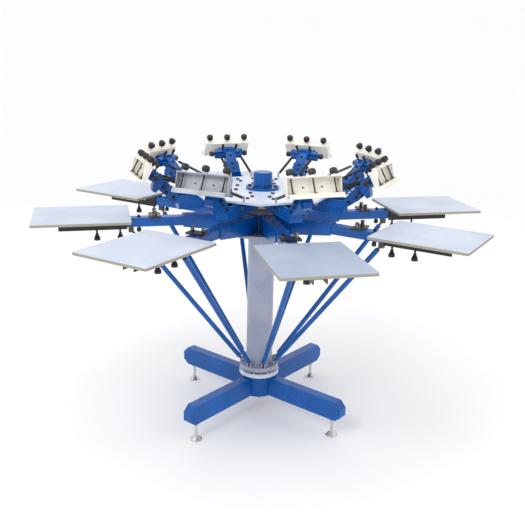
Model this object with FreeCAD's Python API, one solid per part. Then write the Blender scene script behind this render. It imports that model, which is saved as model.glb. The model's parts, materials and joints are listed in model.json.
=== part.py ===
import FreeCAD, Part
import math
import os

# Rotary screen printing press: eight pallets and eight tilting print heads on one pedestal.
# Millimetres, +Z up, origin on the floor under the shaft. A piece that repeats is drawn once with
# x = distance from the shaft, y = sideways and z = height, then turned to its station. Stations
# are counted from the -Y side towards +X.

# stations and fits
stations = 8
pallet_turn = 7.3          # first pallet, degrees from -Y
head_turn = 14.7           # first print head, degrees from -Y
feet = 4
running = 0.08             # radial gap of a shaft in its bore
loose = 0.3                # gap between pieces that pass each other

# base
leg_reach = 540.0
leg_width = 50.0
leg_height = 100.0
leg_wall = 4.0
leg_bottom = 97.0
leg_top_cut = (30.0, 32.0)
leg_bottom_cut = (30.0, 24.0)
hub_radius = 88.0
hub_wall = 8.0
hub_drop = 5.0             # hub below the legs
hub_rise = 8.0             # hub above the legs
hub_lid = 12.0
hub_floor_hole = 50.0
hub_studs = 4
foot_inset = 60.0          # foot centre from the leg's end
foot_rod_radius = 8.0
foot_rod_length = 128.0
foot_pad_radius = 30.0
foot_pad_rim = 5.0
foot_cone_top = 22.0
foot_cone_radius = 11.0
foot_boss_wall = 6.7
foot_boss_drop = 9.0

# pedestal shaft and bearings
flange_radius = 104.0
flange_thick = 20.0
fillet = 8.0
shaft_radius = 30.0
thrust_inset = 21.0        # thrust ring's rim inside the flange's rim
thrust_gap = 1.5           # thrust ring's bore to the column's bore
bearing_height = 24.0
bearing_inset = 26.0       # lowest bearing above the stay ring's underside
hub_bearing_drop = 6.0     # top bearing below the arm hub's rim
collar_wall = 22.0
collar_height = 14.0
head_bearing_height = 20.0

# pallet carousel
ring_gap = 13.0            # flange to stay ring
ring_thick = 22.0
ring_radius = 102.0
column_bore = 60.5
column_wall = 7.0
column_height = 718.0
arm_plate_thick = 12.0
arm_plate_flat = 181.0
arm_hub_wall = 9.5
arm_hub_height = 90.0
arm_rise = 34.0            # arm above the arm plate
arm_corner_gap = 6.4       # arm's start past the corner where two saddles would meet
arm_end = 960.0
arm_width = 50.0
arm_height = 44.0
arm_wall = 3.0
saddle_wall = 5.5
saddle_roof = 8.0
saddle_end = 400.0
saddle_lip = 6.0
stay_inset = 14.0          # lower stay pin inside the stay ring's rim
stay_end_inset = 5.0       # upper stay pin inside the pallet's end
stay_end_drop = 18.0       # upper stay pin below the arm
stay_radius = 12.0
rod_end_radius = 11.0
rod_end_width = 12.0
rod_stud_radius = 6.0
rod_stud_length = 30.0
stay_pin_radius = 5.0
ear_thick = 5.0
ear_half = 12.0
ear_gap = 3.0              # rod end to the face its ears stand on

# head carousel
head_rise = 158.0          # arm underside to head plate
head_plate_thick = 10.0
head_plate_flat = 345.0
head_hub_bore = 38.0
head_hub_wall = 17.0
head_hub_drop = 82.0
cap_flange_radius = 82.5
cap_flange_thick = 12.0
cap_radius = 47.0
cap_height = 84.0
cap_wall = 8.0
cap_edge = 3.0
cap_bolts = 6
shaft_end_gap = 6.0
base_start = 112.0
base_end = 435.0
base_width = 66.0
base_height = 64.0
base_wall = 4.0
base_flange = 20.0
base_flange_start = 190.0
base_flange_end = 338.0
base_bridge = 56.0
bolt_radius = 5.0
bolt_flats = 17.0
bolt_head = 7.0
bridge_bolt_inset = 28.0
flange_bolt_places = (212.0, 262.0)
cross_bar_radius = 9.0
cross_bar_inset = 17.0     # cross bar behind the head base's end
cross_bar_height = 28.0    # cross bar above the head base's underside

# print head, drawn lowered onto the pallet and raised at rest
pivot_radius = 300.0
pivot_drop = 24.0          # pivot under the head plate
raise_angle = 28.0
pin_radius = 8.0
pin_head_radius = 13.0
pin_head_thick = 5.0
cheek_thick = 4.0
cheek_gap = 0.6
cheek_end_radius = 18.0
swing_gap = 6.0            # neck to the head base's corner
neck_length = 145.0
neck_width = 56.0
neck_depth = 43.0
neck_wall = 4.0
neck_rise = 53.0
tongue_place = 80.5        # tongue along the neck
tongue_length = 36.0
tongue_width = 40.0
tongue_cut = (11.0, 24.0)
tongue_lead = 12.0         # cheeks end before the tongue, clear of a gate's rollers
tongue_gap = 4.0           # tongue above the gate's plate
gate_gap = 1.0             # tongue to each gate roller
cross_length = 26.0
cross_lap = 16.0           # cross block over the neck's end
cross_width = 156.0
cross_low = 32.0           # below the pivot
cross_high = 14.0          # above the pivot
carrier_length = 24.0
carrier_width = 64.0
carrier_inset = 6.0        # carrier inside the cross block's faces
peg_radius = 4.0
peg_reach = 66.0
peg_place = 119.0          # peg along the neck

# screen clamp
clamp_width = 252.0
clamp_wall = 4.0
clamp_depth = 42.0
clamp_height = 78.0
shelf_thick = 3.0
lip_drop = 21.0            # lip below the shelf
lip_gap = 7.0              # lip above the pallet
screw_spread = 100.0
screw_out = 23.0           # screw line in front of the clamp's back
screw_radius = 4.0
pad_radius = 11.0
pad_thick = 6.0
pad_gap = 2.5              # pad above the shelf when screwed down
boss_radius = 12.0
boss_height = 10.0
knob_hub_radius = 8.0
knob_neck = 4.0
knob_radius = 19.0
knob_thick = 22.0
knob_lobes = 5
knob_lobe_radius = 6.0
knob_lift = 2.0            # knob above its boss when screwed down

# lift springs
post_radius = 5.0
post_height = 25.0
post_side = 58.0
post_out = 30.0            # post in front of the pivot
spring_radius = 7.0
hook_radius = 3.0
hook_length = 16.0

# registration gate on each arm
gate_length = 55.0
gate_plate_half = 48.0
gate_plate_thick = 10.0
gate_place = 8.5           # rollers behind the tongue's start to its middle
roller_radius = 9.0
roller_height = 20.0
roller_bolt_head = 3.5

# pallets
board_length = 450.0
board_width = 380.0
board_thick = 12.0
board_corner = 8.0
board_lap = 16.8           # board under the clamp's mouth
board_gap = 7.0            # arm top to board underside
bracket_inset = 14.0       # bracket inside the board's end
bracket_length = 320.0
bracket_wall = 4.0
bracket_top_gap = 1.0      # arm top to the bracket's roof
bracket_side_gap = 1.0
bracket_drop = 9.0         # bracket below the arm
strap_length = 36.0
strap_thick = 4.0
lock_places = (33.0, 143.0)
lock_screw_radius = 5.0
lock_knob_drop = 32.0      # knob's top below the arm
lock_knob_height = 32.0
lock_knob_radius = 15.0

# heights that follow from the sizes above
leg_top = leg_bottom + leg_height
hub_bottom = leg_bottom - hub_drop
hub_top = leg_top + hub_rise
foot_circle = leg_reach - foot_inset
flange_top = hub_top + flange_thick
ring_bottom = flange_top + ring_gap
ring_top = ring_bottom + ring_thick
column_radius = column_bore + column_wall
arm_plate_bottom = ring_top + column_height
arm_plate_top = arm_plate_bottom + arm_plate_thick
arm_hub_top = arm_plate_top + arm_hub_height
arm_start = (arm_width / 2 + saddle_wall) / math.tan(math.pi / stations) + arm_corner_gap
arm_bottom = arm_plate_top + arm_rise
arm_top = arm_bottom + arm_height
board_bottom = arm_top + board_gap
board_top = board_bottom + board_thick
head_plate_bottom = arm_bottom + head_rise
head_plate_top = head_plate_bottom + head_plate_thick
head_hub_bottom = head_plate_bottom - head_hub_drop
cap_foot_top = head_plate_top + cap_flange_thick
cap_top = head_plate_top + cap_height
shaft_top = cap_top - cap_wall - shaft_end_gap
base_bottom = head_plate_bottom - base_height
cap_bolt_circle = (cap_radius + cap_flange_radius) / 2
bolt_hole = bolt_radius + running

# places along the print head that follow from the sizes above
pivot_z = head_plate_bottom - pivot_drop
base_half = base_width / 2
cheek_inner = base_half + cheek_gap
swing = math.hypot(base_end - pivot_radius, pivot_z - base_bottom)
neck_start = pivot_radius + swing + swing_gap
neck_end = neck_start + neck_length
gate_top = arm_top + gate_plate_thick
tongue_bottom = gate_top + tongue_gap
tongue_start = neck_start + tongue_place
tongue_end = tongue_start + tongue_length
cheek_stop = tongue_start - tongue_lead
gate_radius = tongue_start + gate_place
roller_side = tongue_width / 2 + gate_gap + roller_radius
cross_start = neck_end - cross_lap
cross_end = cross_start + cross_length
clamp_back = cross_end + carrier_length
clamp_front = clamp_back + clamp_wall + clamp_depth
lip_bottom = board_top + lip_gap
shelf_top = lip_bottom + lip_drop
clamp_top = shelf_top - shelf_thick + clamp_height
screw_line = clamp_back + screw_out
boss_top = clamp_top + boss_height
board_start = clamp_front - board_lap
bracket_start = board_start + bracket_inset
bracket_bottom = arm_bottom - bracket_drop
stay_low = (ring_radius - stay_inset, ring_top + rod_end_radius + ear_gap)
stay_high = (board_start - stay_end_inset, arm_bottom - stay_end_drop)


def vec(x, y, z):
    return FreeCAD.Vector(x, y, z)


def block(x0, x1, y0, y1, z0, z1):
    return Part.makeBox(x1 - x0, y1 - y0, z1 - z0, vec(x0, y0, z0))


def rod(radius, z0, z1, x=0.0, y=0.0):
    return Part.makeCylinder(radius, z1 - z0, vec(x, y, z0))


def ring(inner, outer, z0, z1):
    return rod(outer, z0, z1).cut(rod(inner, z0, z1))


def cross_rod(radius, x, z, y0, y1):
    """A round bar that lies sideways."""
    return Part.makeCylinder(radius, y1 - y0, vec(x, y0, z), vec(0, 1, 0))


def plate(outline, y0, y1):
    """A plate with an (x, z) outline, standing between y0 and y1."""
    points = [vec(x, y0, z) for x, z in outline]
    return Part.Face(Part.makePolygon(points + points[:1])).extrude(vec(0, y1 - y0, 0))


def turned(outline, x=0.0):
    """A body turned about an upright axis from a (radius, z) outline."""
    points = [vec(x + r, 0, z) for r, z in outline]
    return Part.Face(Part.makePolygon(points + points[:1])).revolve(vec(x, 0, 0), vec(0, 0, 1), 360)


def polygon_bar(flat, sides, z0, z1, x=0.0, y=0.0, start=0.0):
    """An upright bar with a regular outline; the middle of one flat faces the start angle."""
    corner = flat / math.cos(math.pi / sides)
    turns = [math.radians(start + 360 * (k + 0.5) / sides) for k in range(sides)]
    points = [vec(x + corner * math.cos(a), y + corner * math.sin(a), z0) for a in turns]
    return Part.Face(Part.makePolygon(points + points[:1])).extrude(vec(0, 0, z1 - z0))


def hex_bar(z0, z1, x, y=0.0):
    return polygon_bar(bolt_flats / 2, 6, z0, z1, x, y)


def fused(shapes):
    whole = shapes[0].fuse(shapes[1:]) if len(shapes) > 1 else shapes[0]
    return whole.removeSplitter()


def station(first, k):
    return first + 360.0 * k / stations


def at_station(shape, turn):
    """Turn a piece drawn along +X to the place that is turn degrees from -Y."""
    copy = shape.copy()
    copy.rotate(vec(0, 0, 0), vec(0, 0, 1), turn - 90.0)
    return copy


def around(shapes, turn, count=stations):
    return [at_station(s, turn + 360.0 * k / count) for k in range(count) for s in shapes]


def raised(shape):
    """Swing a print head piece from its lowered place up to rest."""
    copy = shape.copy()
    copy.rotate(vec(pivot_radius, 0, pivot_z), vec(0, 1, 0), -raise_angle)
    return copy


def raised_point(x, z):
    a = math.radians(raise_angle)
    dx, dz = x - pivot_radius, z - pivot_z
    return (pivot_radius + dx * math.cos(a) - dz * math.sin(a),
            pivot_z + dx * math.sin(a) + dz * math.cos(a))


def save(node, shapes):
    solids = [s for shape in shapes for s in shape.Solids]
    whole = solids[0] if len(solids) == 1 else Part.makeCompound(solids)
    whole.exportStep("parts/" + node + ".step")
    print(node, len(solids), "solids", "ok" if whole.isValid() else "NOT VALID")


def leg_outline(inset):
    low, high = leg_bottom + inset, leg_top - inset
    end, slip = leg_reach - inset, inset * 0.4
    return [(0, low), (leg_reach - leg_bottom_cut[0] - slip, low),
            (end, leg_bottom + leg_bottom_cut[1] + slip),
            (end, leg_top - leg_top_cut[1] - slip),
            (leg_reach - leg_top_cut[0] - slip, high), (0, high)]


def base_frame():
    """Four hollow legs and a hub, welded into one frame, with nuts under the hub."""
    half = leg_width / 2
    legs = around([plate(leg_outline(0), -half, half)], 45, feet)
    hollow = around([plate(leg_outline(leg_wall), leg_wall - half, half - leg_wall)], 45, feet)
    low, high = leg_bottom - foot_boss_drop, leg_bottom + leg_wall
    bosses = around([rod(foot_rod_radius + foot_boss_wall, low, high, foot_circle)], 45, feet)
    holes = around([rod(foot_rod_radius + loose, low, high, foot_circle)], 45, feet)
    hollow.append(rod(hub_radius - hub_wall, hub_bottom + hub_wall, hub_top - hub_lid))
    holes.append(rod(hub_floor_hole, hub_bottom, hub_bottom + hub_wall))
    holes.append(rod(shaft_radius, hub_top - hub_lid, hub_top))
    solid = fused(legs + [rod(hub_radius, hub_bottom, hub_top)])
    frame = solid.cut(fused(hollow)).fuse(bosses).cut(Part.makeCompound(holes)).removeSplitter()
    place = (hub_floor_hole + hub_radius - hub_wall) / 2
    nut = hex_bar(hub_bottom - bolt_head, hub_bottom, place)
    end = rod(bolt_radius, hub_bottom - 1.8 * bolt_head, hub_bottom - bolt_head, place)
    return [frame] + around([nut.fuse(end)], 0, hub_studs)


def levelling_foot(k):
    pad = turned([(0, 0), (foot_pad_radius, 0), (foot_pad_radius, foot_pad_rim),
                  (foot_cone_radius, foot_cone_top), (0, foot_cone_top)], foot_circle)
    screw = rod(foot_rod_radius, foot_cone_top, foot_cone_top + foot_rod_length, foot_circle)
    return [at_station(pad.fuse(screw), 45 + 360.0 * k / feet)]


def pedestal_shaft():
    return [turned([(0, hub_top - hub_lid), (shaft_radius, hub_top - hub_lid),
                    (shaft_radius, hub_top), (flange_radius, hub_top),
                    (flange_radius, flange_top), (shaft_radius + fillet, flange_top),
                    (shaft_radius, flange_top + fillet), (shaft_radius, shaft_top),
                    (0, shaft_top)])]


def column_bearings():
    """Rings on the shaft that carry the two carousels."""
    rings = [ring(column_bore + thrust_gap, flange_radius - thrust_inset, flange_top,
                  ring_bottom - loose)]
    lows = (ring_bottom + bearing_inset, arm_plate_bottom - 2 * bearing_height,
            arm_hub_top - bearing_height - hub_bearing_drop)
    for low in lows:
        rings.append(ring(shaft_radius, column_bore - running, low, low + bearing_height))
    top = head_hub_bottom - loose
    rings.append(ring(shaft_radius, shaft_radius + collar_wall, top - collar_height, top))
    for low in (head_hub_bottom + 4, head_plate_bottom - head_bearing_height):
        rings.append(ring(shaft_radius, head_hub_bore - running, low, low + head_bearing_height))
    return rings


def ears(x, z_low, z_high, z_pin):
    """Two clevis ears that hold a rod end between them."""
    inner = rod_end_width / 2 + loose
    hole = cross_rod(stay_pin_radius, x, z_pin, -inner - ear_thick, inner + ear_thick)
    return [block(x - ear_half, x + ear_half, side, side + ear_thick, z_low, z_high).cut(hole)
            for side in (inner, -inner - ear_thick)]


def column_tube():
    return [ring(column_bore, column_radius, ring_top, arm_plate_bottom)]


def stay_ring():
    disc = ring(column_bore, ring_radius, ring_bottom, ring_top)
    lugs = around(ears(stay_low[0], ring_top, stay_low[1] + ear_half, stay_low[1]), pallet_turn)
    return [fused([disc] + lugs)]


def arm_plate():
    between = pallet_turn - 90.0 + 180.0 / stations
    disc = polygon_bar(arm_plate_flat, stations, arm_plate_bottom, arm_plate_top, start=between)
    hub = rod(column_bore + arm_hub_wall, arm_plate_top, arm_hub_top)
    return [disc.fuse(hub).cut(rod(column_bore, arm_plate_bottom, arm_hub_top))]


def pallet_arms():
    """Square tubes for the pallets, each clasped by a saddle that stands on the arm plate."""
    half = arm_width / 2
    tube = block(arm_start, arm_end, -half, half, arm_bottom, arm_top)
    tube = tube.cut(block(arm_start, arm_end, arm_wall - half, half - arm_wall,
                          arm_bottom + arm_wall, arm_top - arm_wall))
    roof = arm_top + saddle_roof
    side = [(arm_start, arm_plate_top), (arm_plate_flat, arm_plate_top),
            (saddle_end, arm_bottom - saddle_lip), (saddle_end, roof), (arm_start, roof)]
    saddle = plate(side, -half - saddle_wall, half + saddle_wall)
    saddle = saddle.cut(block(arm_start, saddle_end, -half, half, arm_plate_top, arm_top))
    return around([tube, saddle], pallet_turn)


def stay_line():
    run = vec(stay_high[0] - stay_low[0], 0, stay_high[1] - stay_low[1])
    return vec(stay_low[0], 0, stay_low[1]), run.Length, run.normalize()


def support_stays():
    low, length, along = stay_line()
    start = low + along * rod_stud_length
    return around([Part.makeCylinder(stay_radius, length - 2 * rod_stud_length, start, along)],
                  pallet_turn)


def stay_rod_ends():
    low, length, along = stay_line()
    half = rod_end_width / 2
    reach = half + loose + ear_thick + 2
    pieces = ears(stay_high[0], stay_high[1] - ear_half, arm_bottom, stay_high[1])
    for centre, way in ((low, along), (low + along * length, along * -1)):
        eye = cross_rod(rod_end_radius, centre.x, centre.z, -half, half)
        stud = Part.makeCylinder(rod_stud_radius, rod_stud_length, centre, way)
        hole = cross_rod(stay_pin_radius, centre.x, centre.z, -half, half)
        pieces.append(eye.fuse(stud).cut(hole))
        pieces.append(cross_rod(stay_pin_radius, centre.x, centre.z, -reach, reach))
    return around(pieces, pallet_turn)


def registration_gates():
    """A plate on each arm with two upright rollers that catch a head's tongue."""
    pieces = [block(gate_radius - gate_length / 2, gate_radius + gate_length / 2,
                    -gate_plate_half, gate_plate_half, arm_top, gate_top)]
    low = gate_top + loose
    high = low + roller_height
    for side in (-roller_side, roller_side):
        bolt = rod(bolt_radius, gate_top, high + loose, gate_radius, side)
        head = hex_bar(high + loose, high + loose + roller_bolt_head, gate_radius, side)
        hole = rod(bolt_hole, low, high, gate_radius, side)
        pieces.append(rod(roller_radius, low, high, gate_radius, side).cut(hole))
        pieces.append(bolt.fuse(head))
    return around(pieces, pallet_turn)


def pallet_board(turn):
    half = board_width / 2
    board = block(board_start, board_start + board_length, -half, half, board_bottom, board_top)
    corners = [e for e in board.Edges if abs(e.tangentAt(e.FirstParameter).z) > 0.9]
    return [at_station(board.makeFillet(board_corner, corners), turn)]


def pallet_bracket(turn):
    """A channel that rides over the arm, with straps below it for two locking screws."""
    inner = arm_width / 2 + bracket_side_gap
    outer = inner + bracket_wall
    end = bracket_start + bracket_length
    channel = block(bracket_start, end, -outer, outer, bracket_bottom, board_bottom)
    channel = channel.cut(block(bracket_start, end, -inner, inner,
                                bracket_bottom, arm_top + bracket_top_gap))
    pieces, screws = [channel], []
    strap_top = bracket_bottom + strap_thick
    knob_top = arm_bottom - lock_knob_drop
    knob_low = knob_top - lock_knob_height
    throat = lock_screw_radius + 3
    for place in lock_places:
        x = bracket_start + place
        strap = block(x - strap_length / 2, x + strap_length / 2, -inner, inner,
                      bracket_bottom, strap_top)
        pieces.append(strap.cut(rod(lock_screw_radius, bracket_bottom, strap_top, x)))
        knob = turned([(0, knob_low), (lock_knob_radius, knob_low),
                       (lock_knob_radius, knob_low + lock_knob_height / 3),
                       (throat, knob_top - lock_knob_height / 5), (throat, knob_top),
                       (0, knob_top)], x)
        screws.append(knob.fuse(rod(lock_screw_radius, knob_top, arm_bottom - loose, x)))
    return [at_station(s, turn) for s in [fused(pieces)] + screws]


def plate_bolt_places():
    side = base_half + bolt_flats / math.sqrt(3) + loose
    return [(base_start + bridge_bolt_inset, 0.0)] + [(x, y) for x in flange_bolt_places
                                                      for y in (-side, side)]


def head_plate():
    disc = polygon_bar(head_plate_flat, stations, head_plate_bottom, head_plate_top,
                       start=head_turn - 90.0)
    hub = rod(head_hub_bore + head_hub_wall, head_hub_bottom, head_plate_bottom)
    whole = disc.fuse(hub).cut(rod(head_hub_bore, head_hub_bottom, head_plate_top))
    holes = [rod(bolt_hole, head_plate_bottom, head_plate_top, x, y)
             for x, y in plate_bolt_places()]
    holes = around(holes, head_turn)
    holes += around([rod(bolt_hole, head_plate_bottom, head_plate_top, cap_bolt_circle)],
                    head_turn, cap_bolts)
    return [whole.cut(Part.makeCompound(holes))]


def shaft_cap():
    cap = turned([(0, head_plate_top), (cap_flange_radius, head_plate_top),
                  (cap_flange_radius, cap_foot_top), (cap_radius, cap_foot_top),
                  (cap_radius, cap_top - cap_edge), (cap_radius - cap_edge, cap_top),
                  (0, cap_top)])
    cap = cap.cut(rod(cap_radius - cap_wall, head_plate_top, cap_top - cap_wall))
    holes = around([rod(bolt_hole, head_plate_top, cap_foot_top, cap_bolt_circle)],
                   head_turn, cap_bolts)
    return [cap.cut(Part.makeCompound(holes))]


def head_base():
    """The fixed channel that a print head hangs on: open above, closed in front, flanged."""
    top = head_plate_bottom
    under = top - base_wall
    channel = block(base_start, base_end, -base_half, base_half, base_bottom, top)
    channel = channel.cut(block(base_start + base_bridge, base_end - base_wall,
                                base_wall - base_half, base_half - base_wall,
                                base_bottom + base_wall, top))
    channel = channel.cut(block(base_start, base_start + base_bridge, base_wall - base_half,
                                base_half - base_wall, base_bottom + base_wall, under))
    flange = block(base_flange_start, base_flange_end, -base_half - base_flange,
                   base_half + base_flange, under, top)
    flange = flange.cut(block(base_flange_start, base_flange_end, -base_half, base_half,
                              under, top))
    bar_x, bar_z = cross_bar_place()
    holes = [rod(bolt_hole, under, top, x, y) for x, y in plate_bolt_places()]
    holes.append(cross_rod(pin_radius, pivot_radius, pivot_z, -base_half, base_half))
    holes.append(cross_rod(bolt_radius, bar_x, bar_z, -base_half, base_half))
    return fused([channel] + flange.Solids).cut(Part.makeCompound(holes))


def cross_bar_place():
    return base_end - cross_bar_inset, base_bottom + cross_bar_height


def hinge_pins():
    """Per head: the hinge pin, a bar across the channel's front and two spring posts."""
    reach = cheek_inner + cheek_thick + loose
    pin = cross_rod(pin_radius, pivot_radius, pivot_z, -reach, reach)
    heads = [cross_rod(pin_head_radius, pivot_radius, pivot_z, y, y + pin_head_thick)
             for y in (reach, -reach - pin_head_thick)]
    x, z = cross_bar_place()
    inner = base_half - base_wall
    bar = cross_rod(cross_bar_radius, x, z, -inner, inner)
    bar = bar.fuse(cross_rod(bolt_radius, x, z, -base_half, base_half))
    posts = [rod(post_radius, head_plate_top, head_plate_top + post_height,
                 pivot_radius + post_out, y) for y in (-post_side, post_side)]
    return around([fused([pin] + heads), bar] + posts, head_turn)


def plate_bolts():
    under = head_plate_bottom - base_wall - bolt_head
    bolts = []
    for x, y in plate_bolt_places():
        shank = rod(bolt_radius, under, head_plate_top, x, y)
        bolts.append(fused([hex_bar(head_plate_top, head_plate_top + bolt_head, x, y), shank,
                            hex_bar(under, under + bolt_head, x, y)]))
    screw = hex_bar(cap_foot_top, cap_foot_top + bolt_head, cap_bolt_circle)
    screw = screw.fuse(rod(bolt_radius, head_plate_bottom, cap_foot_top, cap_bolt_circle))
    return around(bolts, head_turn) + around([screw], head_turn, cap_bolts)


def neck_slope():
    return neck_rise / neck_length


def peg_point():
    x = neck_start + peg_place
    return x, pivot_z - 36.0 + (peg_place - 24.0) * neck_slope()


def lift_springs():
    """A closed spring on each side of a head, from its post to its peg."""
    x, z = pivot_radius + post_out, head_plate_top + post_height - spring_radius
    peg_x, peg_z = raised_point(*peg_point())
    run = vec(peg_x - x, 0, peg_z - z)
    start, length = post_radius + hook_radius, run.Length - peg_radius - loose
    along = run.normalize()
    springs = []
    for y in (-post_side, post_side):
        at = vec(x, y, z) + along * start
        coil = Part.makeCylinder(spring_radius, length - start - 2 * hook_length,
                                 at + along * hook_length, along)
        springs.append(fused([coil, Part.makeCylinder(hook_radius, length - start, at, along)]))
    return around(springs, head_turn)


def cheek(y0):
    """One side of the fork: it hangs beside the head base and carries the neck."""
    px, pz = pivot_radius, pivot_z
    bend = base_end - 8.0
    outline = [(px + 6, pz + cheek_end_radius - 2), (px + 54, pz - 8), (bend + 10, pz - 41),
               (neck_start + 24, pz - 29), (cheek_stop, pz - 11), (cheek_stop, pz - 60),
               (neck_start + 24, pz - 72), (bend, pz - 76), (bend - 12, pz - 74),
               (px - 8, pz - 15)]
    side = plate(outline, y0, y0 + cheek_thick)
    end = cross_rod(cheek_end_radius, px, pz, y0, y0 + cheek_thick)
    return side.fuse(end).cut(cross_rod(pin_radius + running, px, pz, y0, y0 + cheek_thick))


def head_arm(turn):
    """Fork, neck, tongue, cross block and carrier of one print head, welded together."""
    pz, half = pivot_z, neck_width / 2
    low, high = pz - 74.0, pz - 74.0 + neck_depth
    neck = plate([(neck_start, low), (neck_end, low + neck_rise),
                  (neck_end, high + neck_rise), (neck_start, high)], -half, half)
    ends = (neck_start + neck_wall, neck_end - neck_wall)
    groove = plate([(ends[0], low + neck_wall * 2), (ends[1], low + neck_rise + neck_wall),
                    (ends[1], high + neck_rise + neck_wall), (ends[0], high + neck_wall)],
                   neck_wall - half, half - neck_wall)
    rise = neck_slope() * (cheek_stop - neck_start)
    spreader = [(neck_start, low), (cheek_stop, low + rise), (cheek_stop, high + rise),
                (neck_start, high)]
    spreaders = [plate(spreader, y0, y1)
                 for y0, y1 in ((half, cheek_inner), (-cheek_inner, -half))]
    across, along = tongue_cut
    tongue = plate([(tongue_start + across / 2, tongue_bottom),
                    (tongue_end - across, tongue_bottom),
                    (tongue_end, tongue_bottom + along), (tongue_end, pz - 16),
                    (tongue_start, pz - 16), (tongue_start, tongue_bottom + along)],
                   -tongue_width / 2, tongue_width / 2)
    cross = block(cross_start, cross_end, -cross_width / 2, cross_width / 2,
                  pz - cross_low, pz + cross_high)
    carrier = block(cross_end, clamp_back, -carrier_width / 2, carrier_width / 2,
                    pz - cross_low + carrier_inset, pz + cross_high - carrier_inset)
    peg_x, peg_z = peg_point()
    pegs = [cross_rod(peg_radius, peg_x, peg_z, y0, y1)
            for y0, y1 in ((half - 1, peg_reach), (-peg_reach, 1 - half))]
    whole = fused([cheek(cheek_inner), cheek(-cheek_inner - cheek_thick), neck.cut(groove),
                   tongue, cross, carrier] + spreaders + pegs)
    return [at_station(raised(whole), turn)]


def screw_lines():
    return [(screw_line, y) for y in (-screw_spread, 0.0, screw_spread)]


def screen_clamp(turn):
    """A long jaw, open in front, with a shelf below, a lip and three threaded bosses above."""
    half = clamp_width / 2
    shelf_low = shelf_top - shelf_thick
    inside = clamp_back + clamp_wall
    lip = clamp_front - shelf_thick
    outline = [(clamp_back, shelf_low), (lip, shelf_low), (lip, lip_bottom),
               (clamp_front, lip_bottom), (clamp_front, shelf_top), (inside, shelf_top),
               (inside, clamp_top - clamp_wall), (clamp_front, clamp_top - clamp_wall),
               (clamp_front, clamp_top), (clamp_back, clamp_top)]
    bosses = [rod(boss_radius, clamp_top, boss_top, x, y) for x, y in screw_lines()]
    holes = [rod(screw_radius + loose, clamp_top - clamp_wall, boss_top, x, y)
             for x, y in screw_lines()]
    jaw = plate(outline, -half, half).fuse(bosses).cut(Part.makeCompound(holes))
    return [at_station(raised(jaw), turn)]


def clamp_screws(turn):
    """Three hand screws, each one solid of pad, shank and lobed knob."""
    pad_low = shelf_top + pad_gap
    knob_low = boss_top + knob_lift
    grip_low, grip_high = knob_low + knob_neck, knob_low + knob_neck + knob_thick
    away = knob_radius - knob_lobe_radius
    screws = []
    for x, y in screw_lines():
        grip = [rod(away, grip_low, grip_high, x, y)]
        for k in range(knob_lobes):
            a = 2 * math.pi * k / knob_lobes
            grip.append(rod(knob_lobe_radius, grip_low, grip_high,
                            x + away * math.cos(a), y + away * math.sin(a)))
        screws.append(fused(grip + [rod(knob_hub_radius, knob_low, grip_low, x, y),
                                    rod(screw_radius, pad_low, knob_low, x, y),
                                    rod(pad_radius, pad_low, pad_low + pad_thick, x, y)]))
    return [at_station(raised(s), turn) for s in screws]


os.makedirs("parts", exist_ok=True)
save("base_frame", base_frame())
for k in range(feet):
    save("levelling_foot_%d" % (k + 1), levelling_foot(k))
save("pedestal_shaft", pedestal_shaft())
save("column_bearings", column_bearings())
save("column_tube", column_tube())
save("stay_ring", stay_ring())
save("arm_plate", arm_plate())
save("pallet_arms", pallet_arms())
save("support_stays", support_stays())
save("stay_rod_ends", stay_rod_ends())
save("registration_gates", registration_gates())
save("head_plate", head_plate())
save("shaft_cap", shaft_cap())
save("head_bases", around([head_base()], head_turn))
save("hinge_pins", hinge_pins())
save("plate_bolts", plate_bolts())
save("lift_springs", lift_springs())
for k in range(stations):
    name = "_%d" % (k + 1)
    save("pallet_board" + name, pallet_board(station(pallet_turn, k)))
    save("pallet_bracket" + name, pallet_bracket(station(pallet_turn, k)))
    save("head_arm" + name, head_arm(station(head_turn, k)))
    save("screen_clamp" + name, screen_clamp(station(head_turn, k)))
    save("clamp_screws" + name, clamp_screws(station(head_turn, k)))
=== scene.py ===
import bpy
import bmesh
import json
import math
from mathutils import Matrix, Vector


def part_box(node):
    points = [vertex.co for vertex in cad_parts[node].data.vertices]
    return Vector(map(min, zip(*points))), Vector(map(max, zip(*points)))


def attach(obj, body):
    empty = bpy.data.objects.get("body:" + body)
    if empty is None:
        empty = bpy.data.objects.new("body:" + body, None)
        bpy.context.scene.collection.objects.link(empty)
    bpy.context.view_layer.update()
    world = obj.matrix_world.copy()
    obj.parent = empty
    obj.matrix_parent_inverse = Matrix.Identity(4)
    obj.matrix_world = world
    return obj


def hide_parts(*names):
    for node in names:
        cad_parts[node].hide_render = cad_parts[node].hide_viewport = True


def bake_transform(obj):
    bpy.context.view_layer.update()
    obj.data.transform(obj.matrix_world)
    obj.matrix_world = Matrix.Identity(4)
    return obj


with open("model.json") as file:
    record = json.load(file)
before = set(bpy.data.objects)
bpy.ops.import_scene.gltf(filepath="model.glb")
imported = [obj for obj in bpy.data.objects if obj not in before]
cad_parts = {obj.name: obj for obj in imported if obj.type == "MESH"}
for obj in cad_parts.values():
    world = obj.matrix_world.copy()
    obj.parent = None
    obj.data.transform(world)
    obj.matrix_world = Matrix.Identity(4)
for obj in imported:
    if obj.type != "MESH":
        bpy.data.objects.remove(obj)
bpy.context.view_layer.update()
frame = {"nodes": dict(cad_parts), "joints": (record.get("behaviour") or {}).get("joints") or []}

nodes = frame["nodes"]
joints = {j["name"]: j for j in frame["joints"]}
up = Vector((0, 0, 1))
print("frame loaded with", len(nodes), "nodes")


stationCount = 8
liftAngle = math.radians(joints["head_tilt_1"]["range_deg"][1])


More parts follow.
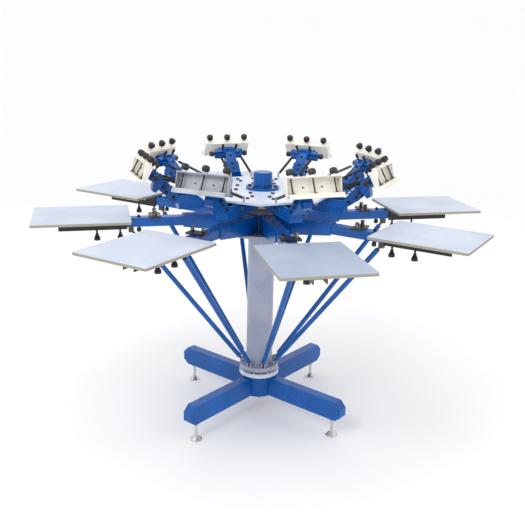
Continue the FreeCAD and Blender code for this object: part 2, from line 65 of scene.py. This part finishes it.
def headPlace(k):   # x along the head's arm from its hinge, y across it, z up, as it lies when lowered
    joint = joints[f"head_tilt_{k}"]
    across = Vector(joint["axis"])
    out = Vector((across.y, -across.x, 0))
    c, s = math.cos(liftAngle), math.sin(liftAngle)
    along, rise = out * c + up * s, out * -s + up * c
    turn = Matrix((along, across, rise)).transposed().to_4x4()
    return Matrix.Translation(joint["pos_m"]) @ turn


def headBasePlace(k):   # the same, for what stays still under the head
    joint = joints[f"head_tilt_{k}"]
    across = Vector(joint["axis"])
    out = Vector((across.y, -across.x, 0))
    return Matrix.Translation(joint["pos_m"]) @ Matrix((out, across, up)).transposed().to_4x4()


def palletPlace(k):   # x outward from the shaft, y across the arm, z up from the floor
    out = Vector(joints[f"pallet_slide_{k}"]["axis"])
    return Matrix((out, Vector((-out.y, out.x, 0)), up)).transposed().to_4x4()


def footPlace(k):   # the same, along leg k
    angle = math.radians(90 * k - 135)
    return Matrix.Rotation(angle, 4, "Z")


def towards(start, end):   # matrix that lays local z along a line, at its middle
    start, end = Vector(start), Vector(end)
    way = end - start
    turn = way.to_track_quat("Z", "Y").to_matrix().to_4x4()
    return Matrix.Translation((start + end) / 2) @ turn, way.length


def softened(bm, made, width, segments=2):   # rounds the sharp edges of what was just made
    edges = [e for e in {e for v in made for e in v.link_edges} if e.calc_face_angle(0) > 0.6]
    bmesh.ops.bevel(bm, geom=edges, offset=width, segments=segments, affect="EDGES", profile=0.5,
                    material=-1, clamp_overlap=True)


def addRod(bm, start, end, radius, endRadius=None, sides=20, edge=0.0):
    place, length = towards(start, end)
    made = bmesh.ops.create_cone(bm, cap_ends=True, segments=sides, radius1=radius,
                                 radius2=radius if endRadius is None else endRadius,
                                 depth=length, matrix=place)["verts"]
    if edge:
        softened(bm, made, edge)


def addPlate(bm, outline, y0, y1, edge=0.0):   # a flat plate from an (x, z) outline
    face = bm.faces.new([bm.verts.new((x, y0, z)) for x, z in outline])
    made = bmesh.ops.extrude_face_region(bm, geom=[face], use_keep_orig=True)["geom"]
    moved = [v for v in made if isinstance(v, bmesh.types.BMVert)]
    bmesh.ops.translate(bm, vec=(0, y1 - y0, 0), verts=moved)
    if edge:
        softened(bm, moved + list(face.verts), edge)


def addTurned(bm, outline, base=(0, 0, 0), way=(0, 0, 1), steps=28):   # outline of (radius, height)
    before = set(bm.verts)
    points = [bm.verts.new((r, 0, h)) for r, h in outline]
    edges = [bm.edges.new(pair) for pair in zip(points, points[1:])]
    bmesh.ops.spin(bm, geom=points + edges, cent=(0, 0, 0), axis=(0, 0, 1), steps=steps,
                   angle=math.tau, use_merge=True, use_duplicate=False)
    made = [v for v in bm.verts if v not in before]
    turn = Vector(way).to_track_quat("Z", "Y").to_matrix().to_4x4()
    bmesh.ops.transform(bm, matrix=Matrix.Translation(base) @ turn, verts=made)
    return made


def addBolt(bm, base, way, flats=0.017, height=0.007, washer=0.0, shank=0.0):   # head on a washer
    way, base = Vector(way).normalized(), Vector(base)
    if washer:
        addRod(bm, base, base + way * 0.0016, washer, sides=20, edge=0.0004)
        base = base + way * 0.0016
    addRod(bm, base, base + way * height, flats / math.sqrt(3), sides=6, edge=0.0009)
    if shank:
        addRod(bm, base + way * height, base + way * (height + shank), flats * 0.29, sides=14, edge=0.0008)


def finished(bm, name, body, look, place=None):
    if place is not None:
        bmesh.ops.transform(bm, matrix=place, verts=bm.verts)
    bmesh.ops.remove_doubles(bm, verts=bm.verts, dist=1e-6)
    bmesh.ops.recalc_face_normals(bm, faces=bm.faces)
    for face in bm.faces:
        face.smooth = True
    mesh = bpy.data.meshes.new(name)
    for edge in bm.edges:
        edge.smooth = edge.calc_face_angle(0) < 0.6
    bm.to_mesh(mesh)
    bm.free()
    piece = bpy.data.objects.new(name, mesh)
    bpy.context.scene.collection.objects.link(piece)
    mesh.materials.append(look)
    if body:
        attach(piece, body)
    return piece


class Value:   # a socket that can be used in sums
    def __init__(self, surface, socket):
        self.surface, self.socket = surface, socket

    def sum(self, operation, *others):
        inputs = {i: v for i, v in enumerate((self, *others))}
        return self.surface.add("ShaderNodeMath", {"operation": operation}, inputs)

    def __add__(self, other):
        return self.sum("ADD", other)

    def __mul__(self, other):
        return self.sum("MULTIPLY", other)

    def __sub__(self, other):
        return self.sum("SUBTRACT", other)

    def __rsub__(self, other):
        return self.surface.add("ShaderNodeMath", {"operation": "SUBTRACT"}, {0: other, 1: self})

    def __truediv__(self, other):
        return self.sum("DIVIDE", other)

    def __rtruediv__(self, other):
        return self.surface.add("ShaderNodeMath", {"operation": "DIVIDE"}, {0: other, 1: self})

    __radd__, __rmul__ = __add__, __mul__


class Surface:
    def __init__(self, name):
        self.material = bpy.data.materials.new(name)
        self.material.use_nodes = True
        self.tree = self.material.node_tree
        self.tree.nodes.clear()
        self.shader = self.tree.nodes.new("ShaderNodeBsdfPrincipled")
        output = self.tree.nodes.new("ShaderNodeOutputMaterial")
        self.tree.links.new(self.shader.outputs[0], output.inputs["Surface"])
        self.place = self.add("ShaderNodeTexCoord", out="Object")

    def add(self, kind, settings=None, inputs=None, out=0):
        node = self.tree.nodes.new(kind)
        for key, value in (settings or {}).items():
            setattr(node, key, value)
        for key, value in (inputs or {}).items():
            self.plug(node.inputs[key], value)
        return Value(self, node.outputs[out])

    def plug(self, socket, value):
        if isinstance(value, Value):
            self.tree.links.new(value.socket, socket)
        elif isinstance(value, tuple) and len(value) == 3 and socket.type == "RGBA":
            socket.default_value = (*value, 1)
        else:
            socket.default_value = value

    def set(self, **values):
        for key, value in values.items():
            self.plug(self.shader.inputs[key.replace("_", " ")], value)

    def noise(self, scale, detail=3.0, roughness=0.55, stretch=None):
        place = self.place
        if stretch:
            place = self.add("ShaderNodeMapping", {}, {"Vector": place, "Scale": stretch})
        return self.add("ShaderNodeTexNoise", {"noise_dimensions": "3D"},
                        {"Vector": place, "Scale": scale, "Detail": detail, "Roughness": roughness})

    def mix(self, share, first, second):
        node = self.tree.nodes.new("ShaderNodeMix")
        node.data_type = "RGBA"
        node.clamp_factor = True
        self.plug(node.inputs[0], share)
        self.plug(node.inputs[6], first)
        self.plug(node.inputs[7], second)
        return Value(self, node.outputs[2])

    def band(self, value, low, high):   # 0 below low, 1 above high
        return self.add("ShaderNodeMapRange", {"clamp": True}, {"Value": value, 1: low, 2: high})

    def axis(self, source, letter):
        return self.add("ShaderNodeSeparateXYZ", {}, {0: source}, out="XYZ".index(letter))

    def bump(self, height, distance, strength=1.0):
        self.plug(self.shader.inputs["Normal"],
                  self.add("ShaderNodeBump", {}, {"Height": height, "Distance": distance,
                                                  "Strength": strength}))


def tone(hexCode):   # sRGB hex to linear
    parts = [int(hexCode[i:i + 2], 16) / 255 for i in (0, 2, 4)]
    return tuple(c / 12.92 if c <= 0.04045 else ((c + 0.055) / 1.055) ** 2.4 for c in parts)


def paintLook(name, main, deep, pale, rough=0.32, coat=0.4, peel=0.00006, topDustAndSheen=0.25, topDustAndSheenTone="c9c9c6"):
    s = Surface(name)
    broad, fine = s.noise(6.0, 3.0), s.noise(95.0, 2.0)
    base = s.mix(s.band(broad, 0.35, 0.7), tone(deep), tone(main))
    base = s.mix(s.band(fine, 0.62, 0.78) * 0.25, base, tone(pale))
    facing = s.band(s.axis(s.add("ShaderNodeNewGeometry", out="Normal"), "Z"), 0.6, 1.0)
    # upward faces blend towards the top tone: grey dust on most paints, while on the blue paint the lighter
    # blue top tone is a painted highlight
    topDustAndSheenMask = facing * s.band(s.noise(24.0, 5.0, 0.7), 0.4, 0.8) * topDustAndSheen
    s.set(Base_Color=s.mix(topDustAndSheenMask, base, tone(topDustAndSheenTone)), Coat_Weight=coat, Coat_Roughness=0.12,
          Roughness=s.band(fine, 0.2, 0.9) * 0.12 + (rough - 0.06) + topDustAndSheenMask * 0.3, IOR=1.48,
          Specular_IOR_Level=0.35)
    s.bump(s.noise(900.0, 2.0), peel, 0.5)
    return s.material


def metalLook(name, main, deep, rough=0.22, brush=(1.0, 1.0, 1.0), spots=0.2):
    s = Surface(name)
    streak = s.noise(260.0, 4.0, 0.6, brush)
    stain = s.band(s.noise(38.0, 5.0, 0.7), 0.5, 0.8)
    s.set(Base_Color=s.mix(stain * spots + streak * 0.2, tone(main), tone(deep)), Metallic=1.0,
          Roughness=streak * 0.16 + stain * 0.15 + (rough - 0.08))
    s.bump(streak, 0.00003, 0.4)
    return s.material


def plasticLook(name, main, pale, rough=0.42):
    s = Surface(name)
    grain, scuff = s.noise(700.0, 2.0), s.noise(60.0, 4.0, 0.65)
    s.set(Base_Color=s.mix(s.band(scuff, 0.45, 0.75) * 0.5, tone(main), tone(pale)), Metallic=0.0,
          Roughness=s.band(scuff, 0.3, 0.7) * 0.15 + (rough - 0.06), IOR=1.5)
    s.bump(grain, 0.00008, 0.5)
    return s.material


# the blue paint's top tone is a lighter blue, a painted highlight on upward faces
bluePaint = paintLook("bluePaint", "025cb0", "014c94", "1070c8", 0.26, 0.12, topDustAndSheen=0.03, topDustAndSheenTone="4e8cd0")
whitePaint = paintLook("whitePaint", "dfe6f0", "cdd6e4", "eef1f7", 0.36, 0.15, topDustAndSheen=0.1, topDustAndSheenTone="c2c8d0")
ivoryPaint = paintLook("ivoryPaint", "f2efe6", "e6e1d2", "f8f6f0", 0.38, 0.12, topDustAndSheen=0.1, topDustAndSheenTone="c4bfae")
columnPaint = paintLook("columnPaint", "a9aec2", "959bb2", "bdc1d0", 0.3, 0.2, topDustAndSheen=0.08, topDustAndSheenTone="8d92a4")
greyPaint = paintLook("greyPaint", "a4a9b6", "8c92a0", "babfca", 0.36, 0.12, topDustAndSheen=0.12, topDustAndSheenTone="8a8c92")
blackPaint = paintLook("blackPaint", "232327", "18181b", "3a3a3e", 0.4, 0.2, topDustAndSheen=0.15, topDustAndSheenTone="6a6a6a")
brightSteel = metalLook("brightSteel", "d8d8d6", "8f8d88", 0.2)
darkSteel = metalLook("darkSteel", "5a5955", "33322f", 0.36)
springSteel = metalLook("springSteel", "4a4a4e", "1e1e20", 0.3)
blackPlastic = plasticLook("blackPlastic", "1b1b1d", "3b3b3d")


def greyedIvory():   # the front left clamp, greyed in broad blotches, with brownish spots
    s = Surface("greyedIvory")
    blotch = s.band(s.noise(9.0, 5.0, 0.65), 0.35, 0.7)
    rust = s.band(s.noise(26.0, 5.0, 0.7), 0.6, 0.75)
    base = s.mix(blotch, tone("b6b9c0"), tone("93979f"))
    s.set(Base_Color=s.mix(rust * 0.5, base, tone("8a8178")), Coat_Weight=0.2,
          Roughness=blotch * 0.2 + 0.34)
    s.bump(s.noise(900.0, 2.0), 0.00006, 0.5)
    return s.material


def palletLook(name, main, deep):   # coated face above, plywood plies at the rim
    s = Surface(name)
    height = s.axis(s.place, "Z")
    low, high = (v.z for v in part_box("pallet_board_1"))
    normal = s.axis(s.add("ShaderNodeNewGeometry", out="Normal"), "Z")
    face = s.band(normal, 0.5, 0.7)
    speck = s.noise(1100.0, 3.0, 0.7)
    cloud = s.noise(5.0, 3.0)
    top = s.mix(s.band(cloud, 0.35, 0.7), tone(deep), tone(main))
    streak = s.band(s.noise(60.0, 5.0, 0.7), 0.45, 0.75)
    top = s.mix(s.band(speck, 0.5, 0.7) * 0.3 + streak * 0.15, top, tone("8f99ae"))
    ply = s.add("ShaderNodeMath", {"operation": "FRACT"}, {0: (height - low) / ((high - low) / 4)})
    grain = s.noise(80.0, 4.0, 0.6, (1.0, 1.0, 30.0))
    wood = s.mix(s.band(ply, 0.4, 0.6), tone("a39a86"), tone("6f6656"))
    wood = s.mix(grain * 0.5, wood, tone("c4bca8"))
    skin = s.band(height, high - 0.0022, high - 0.0018)
    wood = s.mix(skin, wood, tone("8f98a4"))
    under = s.band(0.0 - normal, 0.5, 0.7)
    board = s.mix(under, wood, s.mix(grain, tone("8a7458"), tone("6f5c46")))
    s.set(Base_Color=s.mix(face, board, top), Roughness=face * -0.2 + speck * 0.15 + 0.6)
    s.bump(speck * face + grain * (1.0 - face), 0.00015, 0.5)
    return s.material


def gateLook():   # black plate below, plated rollers and bolts above
    s = Surface("gateSteel")
    height = s.axis(s.place, "Z")
    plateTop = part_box("pallet_arms")[1].z + 0.0022
    metal = s.band(height, plateTop, plateTop + 0.0004)
    streak, stain = s.noise(200.0, 4.0), s.noise(45.0, 4.0)
    black = s.mix(s.band(stain, 0.4, 0.7), tone("1d1d20"), tone("33333a"))
    plated = s.mix(s.band(stain, 0.35, 0.6), tone("a8a6a0"), tone("34322e"))
    s.set(Base_Color=s.mix(metal, black, plated), Metallic=metal, Roughness=streak * 0.2 + 0.2)
    s.bump(streak, 0.00004, 0.4)
    return s.material


def pinLook():   # bright pins near the hinge, a dark bar further out
    s = Surface("pinSteel")
    flat = s.add("ShaderNodeVectorMath", {"operation": "MULTIPLY"}, {0: s.place, 1: (1.0, 1.0, 0.0)})
    reach = s.add("ShaderNodeVectorMath", {"operation": "LENGTH"}, {0: flat}, out="Value")
    outer = s.band(reach, 0.395, 0.4)
    streak = s.noise(220.0, 4.0)
    plated = s.mix(streak, tone("d6d5d2"), tone("8e8c88"))
    dark = s.mix(streak, tone("4a4038"), tone("2c2622"))
    s.set(Base_Color=s.mix(outer, plated, dark), Metallic=1.0, Roughness=streak * 0.2 + 0.2)
    s.bump(streak, 0.00004, 0.4)
    return s.material


palletFace = palletLook("palletFace", "ced4e2", "bdc6d6")
# a darker copy of the pallet face: painted shade for the near pallet
palletPaintedShade = palletLook("palletPaintedShade", "aab5c8", "9ba8bc")
gateSteel, pinSteel, greyedClampLook = gateLook(), pinLook(), greyedIvory()
print("materials made")

looks = {
    "base_frame": bluePaint, "pedestal_shaft": whitePaint, "column_bearings": darkSteel,
    "column_tube": columnPaint, "stay_ring": columnPaint, "arm_plate": greyPaint,
    "pallet_arms": bluePaint, "support_stays": bluePaint, "stay_rod_ends": darkSteel,
    "registration_gates": gateSteel, "head_plate": whitePaint, "head_bases": bluePaint,
    "shaft_cap": bluePaint, "hinge_pins": pinSteel, "plate_bolts": darkSteel,
    "levelling_foot": brightSteel, "pallet_board": palletFace, "pallet_bracket": blackPaint,
    "head_arm": bluePaint, "screen_clamp": ivoryPaint,
}
# pallet 1 takes the darker face copy, which is painted shade
marked = {"screen_clamp_8": greyedClampLook, "pallet_board_1": palletPaintedShade}
for name, node in nodes.items():
    kind = name.rstrip("_12345678")
    look = marked.get(name) or looks.get(name) or looks.get(kind)
    if look:
        node.data.materials.clear()
        node.data.materials.append(look)
print("frame painted")


# hand screws that press on the screen frame
handScrewSizes = {"out": 0.3488, "spread": 0.1, "padLow": -0.0405, "padThick": 0.006, "pad": 0.011,
                  "shank": 0.0036, "pitch": 0.0016, "hub": 0.008, "gripLow": 0.046, "gripTop": 0.0725,
                  "grip": 0.0182, "lobes": 5, "dip": 0.14}


def screwRod(bm, y, size):
    base = (size["out"], y, 0)
    low, thick, pad = size["padLow"], size["padThick"], size["pad"]
    addTurned(bm, [(0, low), (pad * 0.8, low), (pad, low + 0.0015), (pad, low + thick - 0.0015),
                   (pad * 0.7, low + thick), (0, low + thick)], base, steps=22)
    shank, height, thread = size["shank"], low + thick, []
    while height < size["gripLow"] - 0.007:
        thread += [(shank, height), (shank * 0.84, height + size["pitch"] / 2)]
        height += size["pitch"]
    addTurned(bm, [(0, low + thick)] + thread + [(0, height)], base, steps=14)


def screwKnob(bm, y, size):
    base = (size["out"], y, 0)
    addTurned(bm, [(0, size["gripLow"] - 0.006), (size["hub"], size["gripLow"] - 0.006),
                   (size["hub"], size["gripLow"] + 0.002), (0, size["gripLow"] + 0.002)], base, steps=20)
    grip, tall = size["grip"], size["gripTop"] - size["gripLow"]
    outline = [(0, 0), (grip * 0.66, 0), (grip * 0.9, tall * 0.12), (grip, tall * 0.34), (grip, tall * 0.62),
               (grip * 0.9, tall * 0.84), (grip * 0.6, tall * 0.96), (grip * 0.3, tall), (0, tall)]
    knob = addTurned(bm, [(r, size["gripLow"] + h) for r, h in outline], steps=40)
    for v in knob:   # five finger grooves
        share = math.hypot(v.co.x, v.co.y) / grip
        wave = 0.5 - 0.5 * math.cos(size["lobes"] * math.atan2(v.co.y, v.co.x))
        dip = 1 - size["dip"] * share ** 2 * wave
        v.co.x, v.co.y = v.co.x * dip, v.co.y * dip
    bmesh.ops.translate(bm, vec=base, verts=knob)


for k in range(1, stationCount + 1):
    for name, add, look, slot in (("screw_rods", screwRod, darkSteel, "dark_steel"),
                                  ("screw_knobs", screwKnob, blackPlastic, "black_plastic")):
        bm = bmesh.new()
        for y in (-handScrewSizes["spread"], 0, handScrewSizes["spread"]):
            add(bm, y, handScrewSizes)
        piece = finished(bm, f"{name}_{k}", f"clamp_screw_set_{k}", look, headPlace(k))
        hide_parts(f"clamp_screws_{k}")
print("hand screws made")


# springs that lift the heads
springSizes = {"postOut": 0.03, "side": 0.058, "postHeight": 0.05, "peg": (0.2658, -0.0013), "coil": 0.0056,
               "wire": 0.0012, "pitch": 0.003, "hook": 0.016, "postRadius": 0.005, "pegRadius": 0.004}


def addSpring(bm, low, high, size):
    way = high - low
    length = way.length
    place = Matrix.Translation(low) @ way.to_track_quat("Z", "Y").to_matrix().to_4x4()
    start, end = size["hook"] + size["postRadius"], length - size["hook"] - size["pegRadius"]
    turns = round((end - start) / size["pitch"])
    ring = bmesh.ops.create_circle(bm, segments=5, radius=size["wire"],
                                   matrix=Matrix.Translation((size["coil"], 0, start))
                                   @ Matrix.Rotation(math.pi / 2, 4, "X"))["verts"]
    before = set(bm.verts) - set(ring)
    edges = list({e for v in ring for e in v.link_edges})
    steps = turns * 14
    bmesh.ops.spin(bm, geom=ring + edges, cent=(0, 0, 0), axis=(0, 0, 1), angle=math.tau * turns,
                   steps=steps, dvec=(0, 0, (end - start) / steps), use_duplicate=False)
    made = [v for v in bm.verts if v not in before]
    bmesh.ops.holes_fill(bm, edges=[e for e in bm.edges if e.is_boundary])
    bmesh.ops.transform(bm, matrix=place, verts=made)
    for at, sign, radius in ((0, 1, size["postRadius"]), (length, -1, size["pegRadius"])):
        hookStart = radius + size["wire"] * 1.2
        hookEnd = size["hook"] + radius
        addRod(bm, place @ Vector((0, 0, at + sign * hookStart)),
               place @ Vector((0, 0, at + sign * (hookEnd + 0.002))), size["wire"] * 1.3, sides=8)
        addRod(bm, place @ Vector((0, 0, at + sign * hookEnd)),
               place @ Vector((size["coil"], 0, at + sign * (hookEnd + 0.001))), size["wire"], sides=8)


for k in range(1, stationCount + 1):
    still, moving = headBasePlace(k), headPlace(k)
    for side, word in ((-1, "right"), (1, "left")):
        y = side * springSizes["side"]
        low = still @ Vector((springSizes["postOut"], y, springSizes["postHeight"]))
        high = moving @ Vector((springSizes["peg"][0], y, springSizes["peg"][1]))
        bm = bmesh.new()
        addSpring(bm, low, high, springSizes)
        piece = finished(bm, f"lift_spring_{k}_{word}", None, springSteel)
        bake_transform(piece)
        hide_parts("lift_springs")
print("springs made")


# what is welded and bolted to each screen clamp
clampSizes = {"half": 0.126, "web": 0.3298, "front": 0.3718, "shelf": -0.043, "roof": 0.028, "rib": 0.003,
              "wall": 0.004, "ribFoot": 0.018, "boltSide": 0.044, "boltHeight": -0.004}


def clampFittings(bm, size):
    back, edge = size["web"] - 0.0005, size["front"]
    for side in (-1, 1):
        low = size["half"] - size["rib"] if side > 0 else -size["half"]
        addPlate(bm, [(back, size["shelf"] - 0.0005), (back + size["ribFoot"], size["shelf"] - 0.0005),
                      (edge - 0.004, size["roof"] + 0.0005), (back, size["roof"] + 0.0005)],
                 low, low + size["rib"], 0.0006)
    for y in (-handScrewSizes["spread"], 0, handScrewSizes["spread"]):   # weld round each boss
        ring = [(0.0115, 0.0315), (0.0142, 0.0315), (0.0138, 0.0332), (0.0115, 0.035), (0.0115, 0.0315)]
        addTurned(bm, ring, (handScrewSizes["out"], y, 0), steps=24)


for k in range(1, stationCount + 1):
    bm = bmesh.new()
    clampFittings(bm, clampSizes)
    paint = greyedClampLook if k == 8 else ivoryPaint
    finished(bm, f"clamp_ribs_{k}", f"print_head_{k}", paint, headPlace(k))
    bm = bmesh.new()
    for y in (-clampSizes["boltSide"], clampSizes["boltSide"]):
        addBolt(bm, (clampSizes["web"], y, clampSizes["boltHeight"]), (1, 0, 0), 0.007, 0.004)
        addBolt(bm, (clampSizes["web"] - clampSizes["wall"], y, clampSizes["boltHeight"]), (-1, 0, 0),
                0.010, 0.005, 0.008, 0.004)
    finished(bm, f"clamp_bolts_{k}", f"print_head_{k}", blackPaint, headPlace(k))
print("clamp fittings made")


# side knobs, set screws and bolts of each head arm
armSizes = {"block": 0.2888, "blockHalf": 0.078, "blockMid": -0.009, "knob": 0.014, "knobLong": 0.03,
            "setSide": 0.038, "blockTop": 0.014, "setRadius": 0.007, "setTall": 0.04,
            "cover": ((0.151, -0.0305), (0.272, 0.0137)), "coverHalf": 0.0235, "coverThick": 0.0018,
            "coverBolts": (0.172, 0.2, 0.25), "bead": 0.0022, "cheek": 0.0376,
            "cheekBolts": ((0.152, -0.058), (0.196, -0.05), (0.214, -0.036))}


def sideKnob(bm, side, size):
    y = side * size["blockHalf"]
    way = (0, side, 0)
    base = (size["block"], y, size["blockMid"])
    grip, long = size["knob"], size["knobLong"]
    addTurned(bm, [(0, -0.001), (0.005, -0.001), (0.005, 0.004), (0.009, 0.004), (0.0095, 0.007),
                   (grip * 0.9, 0.008), (grip, 0.011), (grip, long - 0.004), (grip * 0.86, long - 0.001),
                   (grip * 0.5, long), (0, long)], base, way, steps=30)


def setScrew(bm, y, size):
    base = (size["block"], y, size["blockTop"])
    tall, grip = size["setTall"], size["setRadius"]
    outline = [(0, -0.001), (0.0035, -0.001), (0.0035, tall * 0.4), (grip * 0.8, tall * 0.42),
               (grip, tall * 0.5), (grip, tall * 0.88), (grip * 0.8, tall * 0.98), (0, tall)]
    addTurned(bm, outline, base, steps=22)


def neckCover(bm, size):   # pressed plate in the neck's groove
    (x0, z0), (x1, z1) = size["cover"]
    half, thick = size["coverHalf"], size["coverThick"]
    addPlate(bm, [(x0, z0), (x1, z1), (x1, z1 + thick), (x0, z0 + thick)], -half, half, 0.0006)
    for side in (-1, 1):   # two raised beads along it
        y = side * half * 0.7
        addRod(bm, (x0 + 0.008, y, z0 + 0.0045), (x1, y, z1 + 0.0015), size["bead"], sides=10)


def coverBolts(bm, size):
    (x0, z0), (x1, z1) = size["cover"]
    slope = (z1 - z0) / (x1 - x0)
    for x in size["coverBolts"]:
        addBolt(bm, (x, 0, z0 + (x - x0) * slope + size["coverThick"]), (-slope, 0, 1), 0.010, 0.006, 0.008)


for k in range(1, stationCount + 1):
    bm = bmesh.new()
    neckCover(bm, armSizes)
    finished(bm, f"neck_covers_{k}", f"print_head_{k}", bluePaint, headPlace(k))
    bm = bmesh.new()
    for side in (-1, 1):
        sideKnob(bm, side, armSizes)
        setScrew(bm, side * armSizes["setSide"], armSizes)
    finished(bm, f"register_knobs_{k}", f"print_head_{k}", blackPlastic, headPlace(k))
    bm = bmesh.new()
    for side in (-1, 1):
        for x, z in armSizes["cheekBolts"]:
            addBolt(bm, (x, side * armSizes["cheek"], z), (0, side, 0), 0.013, 0.006, 0.0095)
    coverBolts(bm, armSizes)
    finished(bm, f"arm_bolts_{k}", f"print_head_{k}", blackPaint, headPlace(k))
print("arm fittings made")


# stop screws near the ends of the pallet arms and bolts under each pallet
palletSizes = {"stop": 0.612, "armTop": 1.068, "armLow": 1.024, "stopGrip": 0.011, "side": 0.030,
               "boltRows": (0.745, 0.86, 0.955), "boltHeight": 1.05}

for k in range(1, stationCount + 1):
    bm = bmesh.new()
    x, grip = palletSizes["stop"], palletSizes["stopGrip"]
    addBolt(bm, (x, 0, palletSizes["armTop"]), (0, 0, 1), 0.013, 0.006, 0.01, 0.004)
    low = palletSizes["armLow"]
    addTurned(bm, [(0, 0.001), (0.004, 0.001), (0.004, -0.008), (grip * 0.7, -0.009), (grip, -0.013),
                   (grip, -0.026), (grip * 0.8, -0.029), (0, -0.03)], (x, 0, low), steps=24)
    finished(bm, f"stop_screw_{k}", "pallet_carousel", blackPlastic, palletPlace(k))
    bm = bmesh.new()
    for row in palletSizes["boltRows"]:
        for side in (-1, 1):
            addBolt(bm, (row, side * palletSizes["side"], palletSizes["boltHeight"]), (0, side, 0),
                    0.010, 0.005, 0.008)
    finished(bm, f"bracket_bolts_{k}", f"pallet_{k}", brightSteel, palletPlace(k))
print("pallet fittings made")


# bolts and welds of the pedestal
pedestalSizes = {"flangeTop": 0.225, "boltCircle": 0.094, "bolts": 8, "ringTop": 0.26, "column": 0.0675,
                 "columnTop": 0.978, "foot": 0.48, "bossLow": 0.088, "lockNut": 0.024}

bm = bmesh.new()
for i in range(pedestalSizes["bolts"]):
    angle = math.tau * (i + 0.5) / pedestalSizes["bolts"]
    reach = pedestalSizes["boltCircle"]
    addBolt(bm, (reach * math.cos(angle), reach * math.sin(angle), pedestalSizes["flangeTop"]), (0, 0, 1),
            0.013, 0.006, 0.0095)
for k in range(1, 5):
    nut = bmesh.new()
    base = pedestalSizes["bossLow"]
    addRod(nut, (pedestalSizes["foot"], 0, base - 0.008), (pedestalSizes["foot"], 0, base),
           pedestalSizes["lockNut"] / math.sqrt(3), sides=6, edge=0.0012)
    bmesh.ops.transform(nut, matrix=footPlace(k), verts=nut.verts)
    spare = bpy.data.meshes.new("spare")
    nut.to_mesh(spare)
    nut.free()
    bm.from_mesh(spare)
    bpy.data.meshes.remove(spare)
finished(bm, "pedestal_bolts", "base", brightSteel)

bm = bmesh.new()
bead = 0.004
for height, sign in ((pedestalSizes["ringTop"], 1), (pedestalSizes["columnTop"], -1)):
    r = pedestalSizes["column"]
    addTurned(bm, [(r - 0.001, height), (r + bead, height), (r + bead * 0.8, height + sign * bead * 0.6),
                   (r + bead * 0.35, height + sign * bead), (r - 0.001, height + sign * bead * 1.15),
                   (r - 0.001, height)], steps=60)
finished(bm, "column_welds", "pallet_carousel", columnPaint)
print("pedestal fittings made")


# floor, light and camera
studioSizes = {"floor": 6.5, "bend": 3.0, "lens": 50.25, "position": (-0.3694, -3.5743, 1.8894),
               "heading": 83.98, "pitch": -16.752, "roll": 1.235,
               "sky": (0.97, 0.975, 0.985, 1), "skyStrength": 1.02}

bm = bmesh.new()
rim, bend = studioSizes["floor"], studioSizes["bend"]
addTurned(bm, [(0, 0), (rim, 0)] + [(rim + bend * math.sin(a), bend - bend * math.cos(a))
                                    for a in (math.pi / 24 * i for i in range(1, 13))], steps=96)
bmesh.ops.remove_doubles(bm, verts=bm.verts, dist=1e-5)
bmesh.ops.recalc_face_normals(bm, faces=bm.faces)
if sum(face.normal.z for face in bm.faces) < 0:
    bmesh.ops.reverse_faces(bm, faces=bm.faces)
for face in bm.faces:
    face.smooth = True
mesh = bpy.data.meshes.new("floor")
bm.to_mesh(mesh)
bm.free()
floor = bpy.data.objects.new("floor", mesh)
bpy.context.scene.collection.objects.link(floor)
paper = Surface("paper")
paper.set(Base_Color=paper.mix(paper.noise(3.0), tone("f9f9f9"), tone("fafafa")), Roughness=0.9,
          Specular_IOR_Level=0.1)
mesh.materials.append(paper.material)

world = bpy.data.worlds.new("studio")
bpy.context.scene.world = world
world.use_nodes = True
world.node_tree.nodes["Background"].inputs[0].default_value = studioSizes["sky"]
world.node_tree.nodes["Background"].inputs[1].default_value = studioSizes["skyStrength"]


def addLight(name, position, target, size, power):
    light = bpy.data.lights.new(name, "AREA")
    light.shape, light.size, light.energy = "DISK", size, power
    lamp = bpy.data.objects.new(name, light)
    lamp.location = position
    way = Vector(target) - Vector(position)
    lamp.rotation_euler = way.to_track_quat("-Z", "Y").to_euler()
    bpy.context.scene.collection.objects.link(lamp)


addLight("keyLight", (-2.6, -3.2, 4.2), (0, 0, 0.9), 2.2, 75)
addLight("fillLight", (3.4, -2.4, 2.6), (0, 0, 0.8), 2.6, 16)
addLight("topLight", (0, 1.0, 4.5), (0, 0, 1.0), 3.0, 20)

bpy.context.scene.view_settings.view_transform = "Standard"
camera = bpy.data.objects.new("camera", bpy.data.cameras.new("camera"))
camera.data.lens = studioSizes["lens"]
camera.location = studioSizes["position"]
heading, pitch = math.radians(studioSizes["heading"]), math.radians(studioSizes["pitch"])
level = math.cos(pitch)
look = Vector((math.cos(heading) * level, math.sin(heading) * level, math.sin(pitch)))
roll = Matrix.Rotation(math.radians(studioSizes["roll"]), 3, "Z")
aim = look.to_track_quat("-Z", "Y").to_matrix() @ roll
camera.rotation_euler = aim.to_euler()
bpy.context.scene.collection.objects.link(camera)
bpy.context.scene.camera = camera
print("studio ready")
